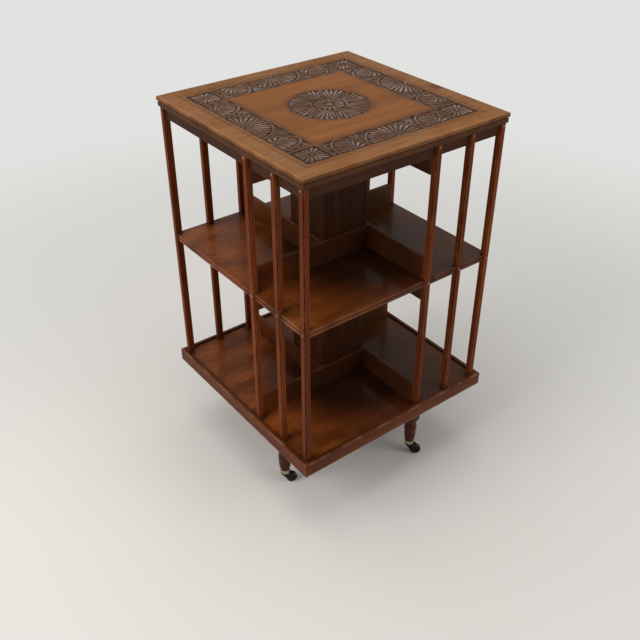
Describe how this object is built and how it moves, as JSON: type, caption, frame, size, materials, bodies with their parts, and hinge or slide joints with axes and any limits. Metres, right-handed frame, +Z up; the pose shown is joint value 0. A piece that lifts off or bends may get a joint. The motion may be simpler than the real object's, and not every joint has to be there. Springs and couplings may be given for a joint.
{
  "type": "revolving bookcase",
  "caption": "Square two-tier revolving bookcase with slatted sides and a carved top, turning on a post over a castored stand.",
  "frame": {"origin": "on the floor under the post's axis", "axes": "+Z up along the post, front of the case faces -Y, +X to the right of the front"},
  "size_m": [0.494, 0.494, 0.812],
  "materials": {
    "top_wood": "carved and waxed mahogany, rubbed bright on the high parts",
    "rail_wood": "polished reddish mahogany",
    "slat_wood": "polished red mahogany",
    "shelf_wood": "French-polished mahogany, darker",
    "inner_wood": "dark stained, polished",
    "foot_wood": "turned, dark polished",
    "stand_wood": "plain hardwood, stained, unpolished",
    "pin_metal": "polished, slightly dulled",
    "cup_metal": "pale polished brass",
    "castor_metal": "black, worn",
    "wheel_metal": "black, rubbed on the tread",
    "pivot_metal": "plain, greased",
    "bush_metal": "plain, greased"
  },
  "bodies": {
    "stand": {"cross_arm_lower": "stand_wood", "cross_arm_upper": "stand_wood", "post": "stand_wood", "pivot_pin": "pivot_metal", "castor_cups": "cup_metal", "foot_front": "foot_wood", "foot_right": "foot_wood", "foot_back": "foot_wood", "foot_left": "foot_wood"},
    "case": {"top_board": "top_wood", "mid_shelf": "shelf_wood", "bottom_board": "shelf_wood", "slat_pins": "pin_metal", "pivot_plate": "pivot_metal", "pivot_screws": "pivot_metal", "guide_bush": "bush_metal", "shelf_dividers": "inner_wood", "base_dividers": "inner_wood", "shelf_strips": "inner_wood", "top_strips": "inner_wood", "frieze_rail_front": "rail_wood", "plinth_rail_front": "rail_wood", "slat_front_corner": "slat_wood", "slat_front_quarter": "slat_wood", "slat_front_middle": "slat_wood", "column_upper_front": "inner_wood", "column_lower_front": "inner_wood", "frieze_rail_right": "rail_wood", "plinth_rail_right": "rail_wood", "slat_right_corner": "slat_wood", "slat_right_quarter": "slat_wood", "slat_right_middle": "slat_wood", "column_upper_right": "inner_wood", "column_lower_right": "inner_wood", "frieze_rail_back": "rail_wood", "plinth_rail_back": "rail_wood", "slat_back_corner": "slat_wood", "slat_back_quarter": "slat_wood", "slat_back_middle": "slat_wood", "column_upper_back": "inner_wood", "column_lower_back": "inner_wood", "frieze_rail_left": "rail_wood", "plinth_rail_left": "rail_wood", "slat_left_corner": "slat_wood", "slat_left_quarter": "slat_wood", "slat_left_middle": "slat_wood", "column_upper_left": "inner_wood", "column_lower_left": "inner_wood"},
    "castor_front": {"castor_fork_front": "castor_metal", "castor_axle_front": "castor_metal"},
    "wheel_front": {"castor_wheel_front": "wheel_metal"},
    "castor_right": {"castor_fork_right": "castor_metal", "castor_axle_right": "castor_metal"},
    "wheel_right": {"castor_wheel_right": "wheel_metal"},
    "castor_back": {"castor_fork_back": "castor_metal", "castor_axle_back": "castor_metal"},
    "wheel_back": {"castor_wheel_back": "wheel_metal"},
    "castor_left": {"castor_fork_left": "castor_metal", "castor_axle_left": "castor_metal"},
    "wheel_left": {"castor_wheel_left": "wheel_metal"}
  },
  "joints": [
    {"name": "case_turn", "type": "hinge", "parent": "stand", "child": "case", "pos_m": [0, 0, 0.783], "axis": [0, 0, 1], "continuous": true},
    {"name": "castor_swivel_front", "type": "hinge", "parent": "stand", "child": "castor_front", "pos_m": [0.09381, -0.19234, 0.032], "axis": [0, 0, 1], "continuous": true},
    {"name": "wheel_roll_front", "type": "hinge", "parent": "castor_front", "child": "wheel_front", "pos_m": [0.1053, -0.20198, 0.0125], "axis": [0.6428, 0.766, 0], "continuous": true},
    {"name": "castor_swivel_right", "type": "hinge", "parent": "stand", "child": "castor_right", "pos_m": [0.19234, 0.09381, 0.032], "axis": [0, 0, 1], "continuous": true},
    {"name": "wheel_roll_right", "type": "hinge", "parent": "castor_right", "child": "wheel_right", "pos_m": [0.19622, 0.1083, 0.0125], "axis": [-0.9659, 0.2588, 0], "continuous": true},
    {"name": "castor_swivel_back", "type": "hinge", "parent": "stand", "child": "castor_back", "pos_m": [-0.09381, 0.19234, 0.032], "axis": [0, 0, 1], "continuous": true},
    {"name": "wheel_roll_back", "type": "hinge", "parent": "castor_back", "child": "wheel_back", "pos_m": [-0.10858, 0.19495, 0.0125], "axis": [-0.1736, -0.9848, 0], "continuous": true},
    {"name": "castor_swivel_left", "type": "hinge", "parent": "stand", "child": "castor_left", "pos_m": [-0.19234, -0.09381, 0.032], "axis": [0, 0, 1], "continuous": true},
    {"name": "wheel_roll_left", "type": "hinge", "parent": "castor_left", "child": "wheel_left", "pos_m": [-0.17825, -0.09894, 0.0125], "axis": [0.342, 0.9397, 0], "continuous": true}
  ]
}
